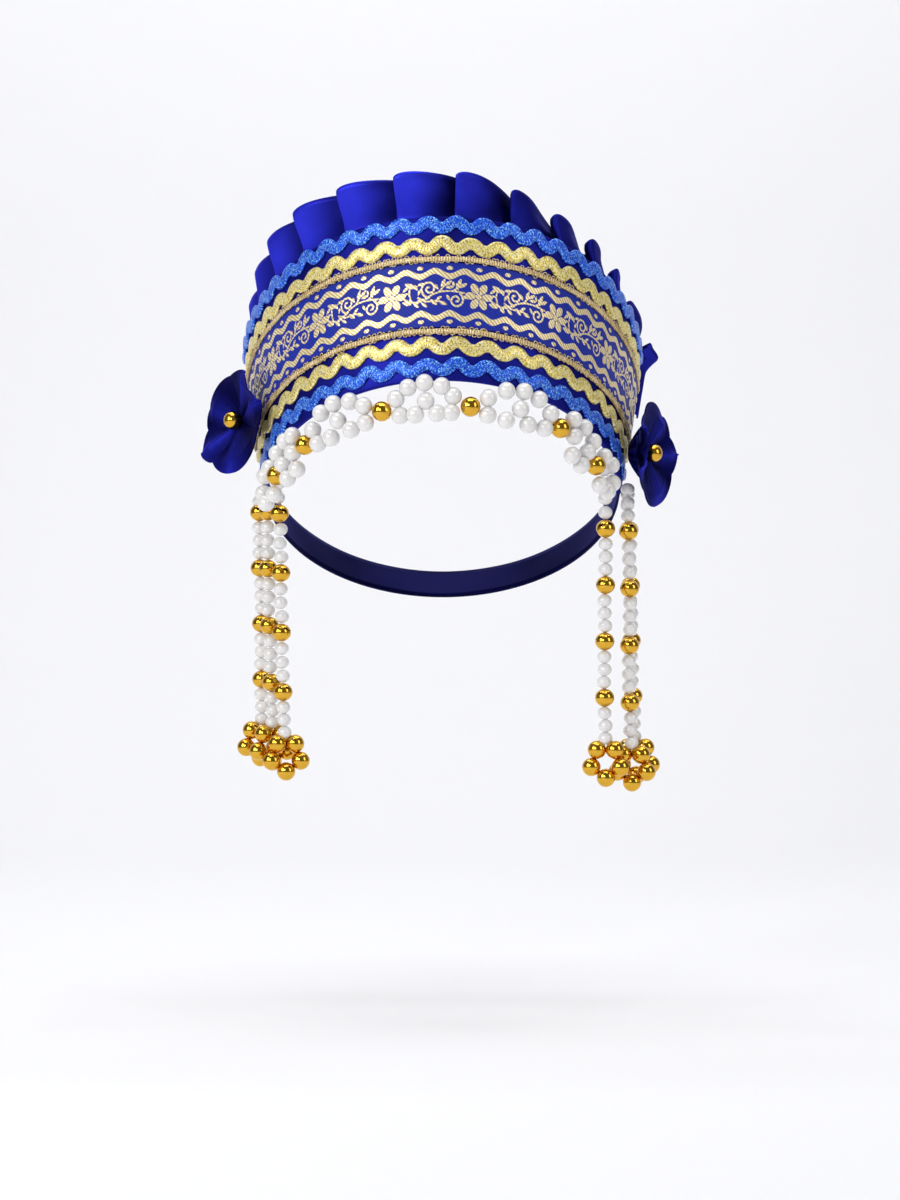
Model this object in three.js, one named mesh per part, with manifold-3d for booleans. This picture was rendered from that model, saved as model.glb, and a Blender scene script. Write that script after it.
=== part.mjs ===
// A kokoshnik: a stiff satin headband with a pleated ruffle, trims, satin flowers and bead strings.
// Millimetres, +Z up. The wearer looks along -Y. The origin is the centre of the rim that sits on the head.
import * as THREE from 'three';
import { mergeVertices } from 'three/addons/utils/BufferGeometryUtils.js';
import Module from 'manifold-3d';

const wasm = await Module();
wasm.setup();

// Driving dimensions
const RIM_HALF_WIDTH = 79.3;   // outer face of the band at its lower edge, ear to ear
const RIM_HALF_DEPTH = 97;     // the same, brow to nape
const TILT = THREE.MathUtils.degToRad(28);   // the rim is high at the brow and low at the nape
const SIDE_FLARE = 0.153;      // outward lean of the band at the ears, per mm of height
const FRONT_FLARE = 0.401;     // outward lean of the band at the brow
const PANEL_FOOT = 2;           // the panel's lower edge, above the rim line
const PANEL_HEIGHT = 72;        // its upper edge
const PANEL_WALL = 2.5;
const PANEL_HALF_LENGTH = 137; // along the rim, from the brow to the end behind the ear
const TRIM_HALF_LENGTH = 132;
const SEAT = 0.3;              // gap between pieces that are sewn or glued together

const RIBBON = { low: 24.4, high: 51.9, thick: 1.0 };
const GIMP = { low: 22.8, high: 53.5, radius: 1.25, sides: 5 };
const RICKRACK = { width: 5.2, swing: 1.5, thick: 1.2, stepsPerWave: 2 };
const RUFFLE = { foot: 60, top: 92.5, thick: 1.0, footDepth: 5.2, topDepth: 9.5 };
const PLEATS = { count: 13, pitch: 21.6, start: -125 };
const RUFFLE_LEAN = { topSet: -3.5, left: 10, right: 11, rightDrop: 4 };  // how the top falls back at the sides
const RUFFLE_FAN = { slope: 0.13, most: 7 };   // how far the folds spread towards the foot
const RUFFLE_END = { flare: 5, drop: 7 };      // the free end stands out past the panel's right end
const BACK_BAND = { low: 3, high: 21, thick: 1.2, gap: 0.4, steps: 20 };
const FLOWER = { radius: 23, lobes: 5, wave: 4.0, thick: 1.0, rootRadius: 9 };

const PEARL = 7.0;             // pearls of the brow net
const SMALL_PEARL = { width: 5.8, pitch: 5.55 };
const GOLD = 8.0;
const BEAD_SIDES = 10;
const NECK = 1.5;              // radius where two beads meet on their thread
const NET_OUT = 4.1;           // the brow net hangs before the wall
const STRAND = { golds: 4, pearlsAfter: 3 };
const LOOP = { golds: 5, drop: 0.5 };   // drop clears the two upper beads from the string's end

const COLOURS = {
  satin: { color: 0x12128c, roughness: 0.4 },
  jacquard: { color: 0x2a3fae, roughness: 0.6 },
  goldBraid: { color: 0xd9b93c, roughness: 0.45, metalness: 0.5 },
  blueBraid: { color: 0x1f5fd0, roughness: 0.5, metalness: 0.2 },
  goldBead: { color: 0xc8961c, roughness: 0.15, metalness: 1.0 },
  pearl: { color: 0xf2efe8, roughness: 0.25 },
};

// The band's surface: along the rim, up the wall and out from it

function rimPoint(angle) {
  return new THREE.Vector3(RIM_HALF_WIDTH * Math.sin(angle), -RIM_HALF_DEPTH * Math.cos(angle), 0);
}

const RIM_SAMPLES = 1440;
const rimLengths = [0];
for (let i = 1; i <= RIM_SAMPLES; i++) {
  const step = (Math.PI * 2) / RIM_SAMPLES;
  rimLengths.push(rimLengths[i - 1] + rimPoint(i * step).distanceTo(rimPoint((i - 1) * step)));
}
const RIM_ROUND = rimLengths[RIM_SAMPLES];

// The rim's angle at a distance along it, measured from the brow and positive towards +X
function rimAngle(along) {
  const target = Math.abs(along);
  let i = 1;
  while (rimLengths[i] < target) i++;
  const share = (target - rimLengths[i - 1]) / (rimLengths[i] - rimLengths[i - 1]);
  return (Math.sign(along) * (i - 1 + share) * Math.PI * 2) / RIM_SAMPLES;
}

function wallFrame(along) {
  const angle = rimAngle(along);
  const foot = rimPoint(angle);
  const tangent = new THREE.Vector3(RIM_HALF_WIDTH * Math.cos(angle), RIM_HALF_DEPTH * Math.sin(angle), 0);
  tangent.normalize();
  const rise = new THREE.Vector3(SIDE_FLARE * Math.sin(angle), -FRONT_FLARE * Math.cos(angle), 1).normalize();
  const outward = new THREE.Vector3().crossVectors(tangent, rise).normalize();
  return { foot, tangent, rise, outward };
}

function wallPoint(along, up, out) {
  const { foot, rise, outward } = wallFrame(along);
  return foot.addScaledVector(rise, up).addScaledVector(outward, out);
}

const tiltTurn = new THREE.Quaternion().setFromAxisAngle(new THREE.Vector3(1, 0, 0), -TILT);

// A point of the wall as worn, with the rim's tilt
function wornPoint(along, up, out) {
  return wallPoint(along, up, out).applyQuaternion(tiltTurn);
}

// Reshaping of plain geometries

function onlyPositions(geometry) {
  geometry.deleteAttribute('normal');
  geometry.deleteAttribute('uv');
  return mergeVertices(geometry, 1e-4);
}

function volume(geometry) {
  const p = geometry.attributes.position;
  const index = geometry.index.array;
  const [a, b, c] = [new THREE.Vector3(), new THREE.Vector3(), new THREE.Vector3()];
  let sum = 0;
  for (let i = 0; i < index.length; i += 3) {
    a.fromBufferAttribute(p, index[i]);
    b.fromBufferAttribute(p, index[i + 1]);
    c.fromBufferAttribute(p, index[i + 2]);
    sum += a.dot(b.cross(c)) / 6;
  }
  return sum;
}

function turnOutwards(geometry) {
  if (volume(geometry) < 0) {
    const index = geometry.index.array;
    for (let i = 0; i < index.length; i += 3) {
      [index[i], index[i + 1]] = [index[i + 1], index[i]];
    }
  }
  return geometry;
}

// Moves every vertex of a closed geometry by a function of its place
function reshape(geometry, place) {
  const solid = onlyPositions(geometry);
  const p = solid.attributes.position;
  const v = new THREE.Vector3();
  for (let i = 0; i < p.count; i++) {
    v.fromBufferAttribute(p, i);
    const q = place(v.x, v.y, v.z);
    p.setXYZ(i, q.x, q.y, q.z);
  }
  return turnOutwards(solid);
}

// A flat strip, x along, y out from 0 to thick, z up from low to high, bent on to the wall
function strip(half, low, high, thick, steps, rows, place) {
  const box = new THREE.BoxGeometry(2 * half, thick, high - low, steps, 1, rows);
  box.translate(0, thick / 2, (low + high) / 2);
  return reshape(box, place);
}

function toSolid(geometry) {
  const p = mergeVertices(geometry, 1e-4);
  return new wasm.Manifold(
    new wasm.Mesh({
      numProp: 3,
      vertProperties: new Float32Array(p.attributes.position.array),
      triVerts: new Uint32Array(p.index.array),
    }),
  );
}

function joined(geometries) {
  const solid = geometries.map(toSolid).reduce((sum, next) => sum.add(next));
  const mesh = solid.getMesh();
  const geometry = new THREE.BufferGeometry();
  geometry.setAttribute('position', new THREE.BufferAttribute(new Float32Array(mesh.vertProperties), 3));
  geometry.setIndex(new THREE.BufferAttribute(new Uint32Array(mesh.triVerts), 1));
  return geometry;
}

// Band pieces

const PANEL_STEPS = 30;
const wallAt = (set) => (x, y, z) => wallPoint(x, z, y + set);

function frontPanel() {
  return strip(PANEL_HALF_LENGTH, PANEL_FOOT, PANEL_HEIGHT, PANEL_WALL, PANEL_STEPS, 2, wallAt(-PANEL_WALL));
}

function jacquardRibbon() {
  return strip(TRIM_HALF_LENGTH, RIBBON.low, RIBBON.high, RIBBON.thick, PANEL_STEPS, 1, wallAt(SEAT));
}

function gimp(up) {
  const rod = new THREE.CylinderGeometry(
    GIMP.radius, GIMP.radius, 2 * TRIM_HALF_LENGTH, GIMP.sides, PANEL_STEPS);
  return reshape(rod, (x, y, z) => wallPoint(y, up + x, SEAT + GIMP.radius + z));
}

// A flat braid that swings up and down as it runs along the band
function rickrack(up, waves) {
  const steps = waves * RICKRACK.stepsPerWave;
  const turnsPerMm = waves / (2 * TRIM_HALF_LENGTH);
  const phase = Math.PI / RICKRACK.stepsPerWave;
  const swing = (x) => RICKRACK.swing * Math.sin(2 * Math.PI * turnsPerMm * (x + TRIM_HALF_LENGTH) + phase);
  const half = RICKRACK.width / 2;
  return strip(TRIM_HALF_LENGTH, up - half, up + half, RICKRACK.thick, steps, 1,
    (x, y, z) => wallPoint(x, z + swing(x), y + SEAT));
}

// One knife pleat: how far along its pitch each bend lies, and its lift from the foot of the pleat
const PLEAT_BENDS = [
  { along: 0.00, lift: 0.92 },
  { along: 0.10, lift: 1.04 },
  { along: 0.50, lift: 0.80 },
  { along: 0.95, lift: 0.30 },
  { along: 1.32, lift: 0.00 },
  { along: 1.35, lift: 0.29 },
  { along: 1.06, lift: 0.62 },
];

function pleatBend(index) {
  const pleat = Math.floor(index / PLEAT_BENDS.length);
  const bend = PLEAT_BENDS[index - pleat * PLEAT_BENDS.length];
  return { along: pleat + bend.along, lift: bend.lift };
}

const { smoothstep } = THREE.MathUtils;

function pleatedRuffle() {
  const bends = (PLEATS.count - 1) * PLEAT_BENDS.length + 2;
  const foot = -(PANEL_WALL + RUFFLE.thick / 2 + 3 * SEAT) - RUFFLE.footDepth * 1.04;
  const bendAt = (index, spread) => {
    const { along, lift } = pleatBend(index);
    const at = PLEATS.start + along * PLEATS.pitch;
    const low = foot + RUFFLE.footDepth * lift + RUFFLE_END.flare * smoothstep(at, PANEL_HALF_LENGTH, 144);
    const rightLean = RUFFLE_LEAN.right * smoothstep(at, 0, 50) * (1 - smoothstep(at, 112, 134));
    const high = RUFFLE_LEAN.topSet - RUFFLE_LEAN.left * smoothstep(-at, 40, 120) - rightLean + RUFFLE.topDepth * lift;
    return new THREE.Vector2(at, THREE.MathUtils.lerp(low, high, spread));
  };
  const place = (x, y, z) => {
    const index = Math.round(x);
    const endFall = RUFFLE_END.drop * smoothstep(bendAt(index, 0).x, 116, 140);
    const spread = smoothstep(z - endFall, PANEL_HEIGHT + 1, RUFFLE.top);
    const here = bendAt(index, spread);
    const before = index > 0 ? here.clone().sub(bendAt(index - 1, spread)).normalize() : null;
    const after = index < bends ? bendAt(index + 1, spread).sub(here).normalize() : null;
    const [a, b] = [before ?? after, after ?? before];
    const miter = new THREE.Vector2(-a.y - b.y, a.x + b.x).normalize();
    const reach = Math.min(1 / Math.max(0.35, miter.dot(new THREE.Vector2(-a.y, a.x))), 1.6);
    const q = here.addScaledVector(miter, y * RUFFLE.thick * reach);
    const fan = THREE.MathUtils.clamp(RUFFLE_FAN.slope * q.x, -RUFFLE_FAN.most, RUFFLE_FAN.most);
    const fall = RUFFLE_LEAN.rightDrop * spread * smoothstep(q.x, 0, 50) + endFall;
    return wallPoint(q.x + fan * (1 - smoothstep(z, RUFFLE.foot, RUFFLE.top)), z - fall, q.y);
  };
  const box = new THREE.BoxGeometry(bends, 1, RUFFLE.top - RUFFLE.foot, bends, 1, 2);
  box.translate(bends / 2, 0, (RUFFLE.foot + RUFFLE.top) / 2);
  return reshape(box, place);
}

// The plain band that closes the ring behind the head
function backBand() {
  const half = RIM_ROUND / 2 - PANEL_HALF_LENGTH - BACK_BAND.gap;
  const box = new THREE.BoxGeometry(2 * half, BACK_BAND.thick, BACK_BAND.high - BACK_BAND.low, BACK_BAND.steps);
  box.translate(0, -PANEL_WALL / 2, (BACK_BAND.low + BACK_BAND.high) / 2);
  return reshape(box, (x, y, z) => wallPoint(x >= 0 ? RIM_ROUND / 2 - x : -RIM_ROUND / 2 - x, z, y));
}

// Satin flowers: a ruffled cup of cloth, thick at its gathered root, drawn along its own +Z

const FLOWER_STEPS = { round: 20, out: 3 };

function flowerCloth(rootHeight, cup) {
  const rings = FLOWER_STEPS.out;
  const profile = [];
  for (let i = 0; i <= rings; i++) profile.push(new THREE.Vector2(i / rings, 0.5));
  for (let i = rings; i >= 0; i--) profile.push(new THREE.Vector2(i / rings, -0.5));
  const cloth = new THREE.LatheGeometry(profile, FLOWER_STEPS.round);
  return reshape(cloth, (x, y, z) => {
    const share = Math.hypot(x, z);
    const turn = Math.atan2(z, x);
    const lobe = Math.cos(FLOWER.lobes * turn);
    const radius = share * FLOWER.radius * (1 + 0.07 * lobe);
    const rise = cup * share * share + FLOWER.wave * share * share * Math.sin(FLOWER.lobes * turn);
    const root = Math.max(0, 1 - (share * FLOWER.radius) / FLOWER.rootRadius);
    const under = y < 0 ? -FLOWER.thick - (rootHeight - FLOWER.thick) * root : 0;
    return new THREE.Vector3(radius * Math.cos(turn), radius * Math.sin(turn), rootHeight + rise + under);
  });
}

// Beads on threads

// A string of beads drawn down from y = 0: each row is a bead or a stretch of small pearls
function stringProfile(rows) {
  const profile = [new THREE.Vector2(0, 0)];
  let y = 0;
  for (const { length, width, bends } of rows) {
    for (const bend of bends) profile.push(new THREE.Vector2(Math.max(NECK, (bend.r * width) / 2), y - bend.at * length));
    y -= length;
  }
  profile.push(new THREE.Vector2(NECK, y), new THREE.Vector2(0, y));
  return { profile, length: -y };
}

const BEAD_BENDS = [{ at: 0, r: 0 }, { at: 0.5, r: 1.14 }];
const ROUND_BENDS = [{ at: 0.25, r: 0.92 }, { at: 0.75, r: 0.92 }];
const TUBE_BENDS = [{ at: 0.02, r: 0.9 }, { at: 0.98, r: 0.9 }];

const goldRow = { length: GOLD, width: GOLD * 1.06, bends: ROUND_BENDS };
const pearlRow = { length: PEARL, width: PEARL, bends: BEAD_BENDS };
const smallPearls = (count) => ({ length: count * SMALL_PEARL.pitch, width: SMALL_PEARL.width, bends: TUBE_BENDS });

function roundBead(width) {
  return onlyPositions(new THREE.SphereGeometry(width / 2, BEAD_SIDES, BEAD_SIDES / 2));
}

// A hanging string: pearls down to the first gold bead, then gold beads with pearls between them
function strandString(rimHeight, firstGold, groupPitch) {
  const lead = rimHeight - firstGold - GOLD / 2;
  const between = { ...smallPearls(1), length: groupPitch - GOLD };
  const rows = [{ ...smallPearls(1), length: lead }];
  for (let i = 0; i < STRAND.golds; i++) {
    rows.push(goldRow, i < STRAND.golds - 1 ? between : smallPearls(STRAND.pearlsAfter));
  }
  const { profile, length } = stringProfile(rows);
  return { geometry: turnOutwards(onlyPositions(new THREE.LatheGeometry(profile, BEAD_SIDES))), length };
}

// A ring of gold beads that closes a hanging string
const LOOP_RADIUS = GOLD / 2 / Math.sin(Math.PI / LOOP.golds);
const LOOP_NECK_RADIUS = LOOP_RADIUS * Math.cos(Math.PI / LOOP.golds);
const LOOP_STEPS_PER_BEAD = 2;

function goldLoop() {
  const tube = 1;
  const ring = new THREE.TorusGeometry(LOOP_RADIUS, tube, BEAD_SIDES, LOOP.golds * LOOP_STEPS_PER_BEAD);
  return reshape(ring, (x, y, z) => {
    const turn = Math.atan2(y, x);
    const fromAxis = Math.hypot(x, y) - LOOP_RADIUS;
    const step = (turn / (2 * Math.PI)) * LOOP.golds * LOOP_STEPS_PER_BEAD;
    const atNeck = Math.abs(Math.round(step)) % LOOP_STEPS_PER_BEAD === 0;
    const swell = atNeck ? NECK : GOLD * 0.5;
    const radius = (atNeck ? LOOP_NECK_RADIUS : LOOP_RADIUS) + fromAxis * swell;
    return new THREE.Vector3(-radius * Math.sin(turn), radius * Math.cos(turn), z * swell);
  });
}

// Brow net: rings of pearls between gold beads, hanging square to the rim
function netPoint(along, drop, out = 0) {
  const edge = wallFrame(along).tangent.applyQuaternion(tiltTurn);
  const down = new THREE.Vector3(0, 0, -1).addScaledVector(edge, edge.z).normalize();
  return wornPoint(along, 0, NET_OUT + out).addScaledVector(down, drop);
}

// Bends a straight string of beads along a list of bead centres in the net's own plane
function netString(centres, row, overrun) {
  const count = centres.length;
  const { profile, length } = stringProfile(Array(count).fill(row));
  const string = new THREE.LatheGeometry(profile, BEAD_SIDES);
  const spot = (index) => {
    const i = Math.min(count - 2, Math.max(0, Math.floor(index)));
    const share = index - i;
    const [a, b] = [centres[i], centres[i + 1]];
    return new THREE.Vector2(a.x + (b.x - a.x) * share, a.y + (b.y - a.y) * share);
  };
  return reshape(string, (x, y, z) => {
    const raw = (-y / length) * count - 0.5;
    const index = THREE.MathUtils.clamp(raw, -overrun, count - 1 + overrun);
    const here = spot(index);
    const ahead = spot(index + 0.25).sub(spot(index - 0.25)).normalize();
    return netPoint(here.x - ahead.y * x, here.y + ahead.x * x, z);
  });
}

// Pearls between two gold beads, from the ends of the span to its middle: two rows that meet at the middle
// pearl or, in a short span, three pearls over a ring of four
function netSection(left, right) {
  const half = (right.along - left.along) / 2;
  const short = half < 2 * PEARL;
  const upper = short
    ? [[half - 5.3, -6.6], [0, -8]]
    : [[half - 7.2, -3.9], [half * 0.354, -8.2], [0, -9.6]];
  const lower = short
    ? [[half - 7.7, -1], [3.9, 6.6]]
    : [[half - 8, 3], [half * 0.252, 3.6], [0, -2.9]];
  const place = (side, drop) => {
    const share = 0.5 + side / (2 * half);
    const level = left.drop + (right.drop - left.drop) * share;
    return new THREE.Vector2(left.along + half + side, level + drop);
  };
  const wholeRow = (row) => [
    ...row.map(([side, drop]) => place(-side, drop)),
    ...row.filter(([side]) => side > 0).reverse().map(([side, drop]) => place(side, drop)),
  ];
  return joined([netString(wholeRow(upper), pearlRow, 0.5), netString(wholeRow(lower), pearlRow, 0.5)]);
}

// The last five pearls in a ring open towards their gold bead; side is +1 at the right end
function netEnd(gold, side) {
  const centre = gold.along + side * (GOLD / 2 + PEARL / 2 + 4 * SEAT);
  const ring = [-120, -60, 0, 60, 120].map((degrees) => {
    const turn = THREE.MathUtils.degToRad(degrees);
    return new THREE.Vector2(centre + side * PEARL * Math.cos(turn), gold.drop + PEARL * Math.sin(turn));
  });
  return netString(ring, pearlRow, 0.5);
}

// Assembly

const kokoshnik = new THREE.Group();
const tilted = new THREE.Group();
tilted.rotation.x = -TILT;
kokoshnik.add(tilted);

function piece(parent, name, geometry, finish) {
  const mesh = new THREE.Mesh(geometry, new THREE.MeshStandardMaterial(finish));
  mesh.name = name;
  parent.add(mesh);
  return mesh;
}

piece(tilted, 'front_panel', frontPanel(), COLOURS.satin);
piece(tilted, 'jacquard_ribbon', jacquardRibbon(), COLOURS.jacquard);
piece(tilted, 'upper_gimp', gimp(GIMP.high), COLOURS.goldBraid);
piece(tilted, 'lower_gimp', gimp(GIMP.low), COLOURS.goldBraid);

const RICKRACKS = [
  { name: 'upper_blue_rickrack', up: 68.3, waves: 25, finish: COLOURS.blueBraid },
  { name: 'upper_gold_rickrack', up: 59.4, waves: 24, finish: COLOURS.goldBraid },
  { name: 'lower_gold_rickrack', up: 16.6, waves: 21, finish: COLOURS.goldBraid },
  { name: 'lower_blue_rickrack', up: 7.7, waves: 21, finish: COLOURS.blueBraid },
];
for (const { name, up, waves, finish } of RICKRACKS) piece(tilted, name, rickrack(up, waves), finish);

piece(tilted, 'pleated_ruffle', pleatedRuffle(), COLOURS.satin);
piece(tilted, 'back_band', backBand(), COLOURS.satin);

const FLOWERS = [
  { name: 'left_flower', along: -114, up: 24.0, out: 2.0, root: 8.0, cup: 6.0, lean: 0.36, turn: 0.3 },
  { name: 'right_flower', along: 124, up: 15.3, out: 2.2, root: 7.0, cup: 6.0, lean: -0.2, turn: 1.0 },
];
for (const { name, along, up, out, root, cup, lean, turn } of FLOWERS) {
  const { outward, rise } = wallFrame(along);
  const seat = new THREE.Group();
  seat.position.copy(wallPoint(along, up, out));
  const side = new THREE.Vector3().crossVectors(rise, outward);
  seat.setRotationFromMatrix(new THREE.Matrix4().makeBasis(side, rise, outward));
  seat.rotateY(lean);
  tilted.add(seat);
  piece(seat, name, flowerCloth(root, cup), COLOURS.satin).rotation.z = turn;
  const bead = piece(seat, `${name}_bead`, roundBead(GOLD), COLOURS.goldBead);
  bead.position.z = root + SEAT + GOLD / 2;
}

const NET_GOLDS = [
  { along: -93, drop: 13 },
  { along: -68, drop: 10.6 },
  { along: -26, drop: 9.2 },
  { along: 12, drop: 9.2 },
  { along: 55, drop: 8.2 },
  { along: 81.5, drop: 14 },
];
NET_GOLDS.forEach((gold, i) => {
  const bead = piece(kokoshnik, `net_gold_${i + 1}`, roundBead(GOLD), COLOURS.goldBead);
  bead.position.copy(netPoint(gold.along, gold.drop));
  const next = NET_GOLDS[i + 1];
  if (next) piece(kokoshnik, `net_section_${i + 1}`, netSection(gold, next), COLOURS.pearl);
});
piece(kokoshnik, 'net_end_left', netEnd(NET_GOLDS[0], -1), COLOURS.pearl);
piece(kokoshnik, 'net_end_right', netEnd(NET_GOLDS.at(-1), 1), COLOURS.pearl);

// Where each string is sewn to the wall, the height of its first gold bead, the pitch of its gold beads,
// and the turn of its loop
const STRING_RADIUS = (SMALL_PEARL.width * 0.9) / 2;
const INSIDE = { out: -PANEL_WALL - 3 * SEAT - STRING_RADIUS, up: 4 };
const BELOW = { out: -PANEL_WALL / 2, up: 0.4 };
const OUTSIDE = { out: SEAT + STRING_RADIUS, up: 1.7 };
const ON_BAND = { out: (BACK_BAND.thick - PANEL_WALL) / 2 + SEAT + STRING_RADIUS, up: 6 };
const STRANDS = [
  { name: 'left_strand_1', along: -147, sewn: ON_BAND, firstGold: -5, pitch: 25.0, turn: 0.2 },
  { name: 'left_strand_2', along: -136, sewn: BELOW, firstGold: -5, pitch: 25.4, turn: 0.2 },
  { name: 'left_strand_3', along: -125.3, sewn: INSIDE, firstGold: -6, pitch: 26.4, turn: 0.2 },
  { name: 'right_strand_1', along: 113, sewn: INSIDE, firstGold: -13, pitch: 24.8, turn: -0.2 },
  { name: 'right_strand_2', along: 125.5, sewn: OUTSIDE, firstGold: -14, pitch: 25.3, turn: -0.2 },
  { name: 'right_strand_3', along: 138.5, sewn: ON_BAND, firstGold: -13, pitch: 24.8, turn: -0.2 },
];
for (const { name, along, sewn, firstGold: gold, pitch, turn } of STRANDS) {
  const top = wornPoint(along, sewn.up, sewn.out);
  const { geometry, length } = strandString(top.z, gold, pitch);
  const strand = piece(kokoshnik, name, geometry, COLOURS.pearl);
  strand.position.copy(top);
  strand.rotation.x = Math.PI / 2;
  const loop = piece(kokoshnik, `${name}_loop`, goldLoop(), COLOURS.goldBead);
  const reach = LOOP_NECK_RADIUS + NECK + LOOP.drop;
  loop.position.set(top.x, top.y, top.z - length - SEAT - reach);
  loop.rotation.set(Math.PI / 2, turn, 0, 'XYZ');
}

export default kokoshnik;
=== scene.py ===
import math
import random
import bmesh
import bpy
import numpy as np
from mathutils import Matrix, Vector


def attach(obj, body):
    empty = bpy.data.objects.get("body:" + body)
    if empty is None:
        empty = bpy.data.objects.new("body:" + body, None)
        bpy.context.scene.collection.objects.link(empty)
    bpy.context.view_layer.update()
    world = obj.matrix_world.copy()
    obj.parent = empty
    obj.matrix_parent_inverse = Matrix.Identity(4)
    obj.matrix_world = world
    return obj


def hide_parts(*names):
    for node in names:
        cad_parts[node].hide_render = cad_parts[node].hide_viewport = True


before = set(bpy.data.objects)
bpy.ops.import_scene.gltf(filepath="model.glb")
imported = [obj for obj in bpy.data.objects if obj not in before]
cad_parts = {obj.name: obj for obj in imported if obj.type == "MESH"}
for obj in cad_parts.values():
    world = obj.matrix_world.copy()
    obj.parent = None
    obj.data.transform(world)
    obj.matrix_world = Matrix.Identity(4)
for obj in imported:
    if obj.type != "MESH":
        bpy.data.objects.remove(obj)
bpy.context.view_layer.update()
mm = 0.001
random.seed(7)
dice = np.random.default_rng(7)

# The band's surface, in millimetres: along the rim from the brow, up the wall and out from it
band = {
    "halfWidth": 79.3, "halfDepth": 97.0, "tilt": math.radians(28), "sideFlare": 0.153, "frontFlare": 0.401,
    "foot": 2.0, "height": 72.0, "wall": 2.5, "halfLength": 137.0, "trimHalf": 132.0, "stretch": 0.003,
}
rimAngles = np.linspace(-math.pi, math.pi, 4001)
rimSteps = np.hypot(
    np.diff(band["halfWidth"] * np.sin(rimAngles)), np.diff(band["halfDepth"] * np.cos(rimAngles)))
rimLengths = np.concatenate([[0.0], np.cumsum(rimSteps)])
rimRound = rimLengths[-1]
rimLengths -= rimRound / 2


def unit(v):
    return v / np.linalg.norm(v, axis=-1, keepdims=True)


def worn(v):  # the rim's tilt, high at the brow
    c, s = math.cos(band["tilt"]), math.sin(band["tilt"])
    return np.stack([v[..., 0], v[..., 1] * c + v[..., 2] * s, v[..., 2] * c - v[..., 1] * s], axis=-1)


def wallFrame(along):
    angle = np.interp(along, rimLengths, rimAngles)
    sine, cosine, flat = np.sin(angle), np.cos(angle), np.zeros_like(angle)
    foot = np.stack([band["halfWidth"] * sine, -band["halfDepth"] * cosine, flat], axis=-1)
    edge = unit(np.stack([band["halfWidth"] * cosine, band["halfDepth"] * sine, flat], axis=-1))
    rise = unit(np.stack([band["sideFlare"] * sine, -band["frontFlare"] * cosine, flat + 1], axis=-1))
    outward = unit(np.cross(edge, rise))
    return worn(foot), worn(edge), worn(rise), worn(outward)


def wallPoints(along, up, out):
    along, up, out = np.broadcast_arrays(*(np.asarray(v, float) for v in (along, up, out)))
    foot, edge, rise, outward = wallFrame(along)
    return (foot + rise * up[..., None] + outward * out[..., None]) * mm


def stretchAt(up):  # how much longer the wall is at a height than at the rim
    return 1 + band["stretch"] * up


# Meshes from arrays
def meshPiece(name, points, faces, uv=None, values=None):
    mesh = bpy.data.meshes.new(name)
    mesh.from_pydata(np.asarray(points).reshape(-1, 3).tolist(), [], np.asarray(faces).tolist())
    if uv is not None:
        layer = mesh.uv_layers.new(name="uv")
        corners = np.empty(len(mesh.loops), dtype=np.int32)
        mesh.loops.foreach_get("vertex_index", corners)
        layer.data.foreach_set("uv", np.asarray(uv, np.float32).reshape(-1, 2)[corners].ravel())
    for key, numbers in (values or {}).items():
        layer = mesh.attributes.new(key, "FLOAT", "POINT")
        layer.data.foreach_set("value", np.asarray(numbers, np.float32).ravel())
    mesh.polygons.foreach_set("use_smooth", np.ones(len(mesh.polygons), dtype=bool))
    mesh.update()
    piece = bpy.data.objects.new(name, mesh)
    bpy.context.collection.objects.link(piece)
    return piece


def gridFaces(rows, columns, ring=False):  # rows along, columns across; ring closes the columns
    across = columns if ring else columns - 1
    i, j = np.meshgrid(np.arange(rows - 1), np.arange(across), indexing="ij")
    k = (j + 1) % columns
    here, ahead = i * columns, (i + 1) * columns
    return np.stack([here + j, ahead + j, ahead + k, here + k], -1).reshape(-1, 4)


def capped(piece):  # closes the open ends of a tube
    shape = bmesh.new()
    shape.from_mesh(piece.data)
    bmesh.ops.holes_fill(shape, edges=[e for e in shape.edges if e.is_boundary], sides=0)
    bmesh.ops.recalc_face_normals(shape, faces=shape.faces)
    shape.to_mesh(piece.data)
    shape.free()


def stiffen(piece, thick, bevel=0.0):
    solid = piece.modifiers.new("thick", "SOLIDIFY")
    solid.thickness = thick * mm
    solid.offset = -1
    if bevel:
        rounded = piece.modifiers.new("rounded", "BEVEL")
        rounded.width = bevel * mm
        rounded.segments = 3
        rounded.limit_method = "ANGLE"
        rounded.angle_limit = math.radians(50)


def dress(piece, material, slotName, *nodes):
    piece.data.materials.append(material)
    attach(piece, "root")
    if nodes:
        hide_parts(*nodes)
    return piece


def unitBead(across, tall):
    ball = bmesh.new()
    bmesh.ops.create_uvsphere(ball, u_segments=across, v_segments=tall, radius=1)
    points = np.array([v.co for v in ball.verts])
    faces = [[v.index for v in f.verts] for f in ball.faces]
    ball.free()
    return points, faces


beadShape = unitBead(across=24, tall=14)


def beadPiece(name, centres, width, tall=1.0):  # many beads as one mesh; tall flattens them along Z
    shape, faces = beadShape
    shape = shape * np.array([1, 1, tall]) * width / 2
    points = np.concatenate([np.asarray(c) + shape for c in centres])
    allFaces = [[v + n * len(shape) for v in f] for n in range(len(centres)) for f in faces]
    mesh = bpy.data.meshes.new(name)
    mesh.from_pydata((points * mm).tolist(), [], allFaces)
    mesh.polygons.foreach_set("use_smooth", np.ones(len(mesh.polygons), dtype=bool))
    piece = bpy.data.objects.new(name, mesh)
    bpy.context.collection.objects.link(piece)
    return piece


# Materials
def newMaterial(name, **sockets):
    material = bpy.data.materials.new(name)
    material.use_nodes = True
    shader = material.node_tree.nodes["Principled BSDF"]
    for key, value in sockets.items():
        shader.inputs[key.replace("_", " ")].default_value = value
    return material, material.node_tree.nodes, material.node_tree.links, shader


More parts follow.
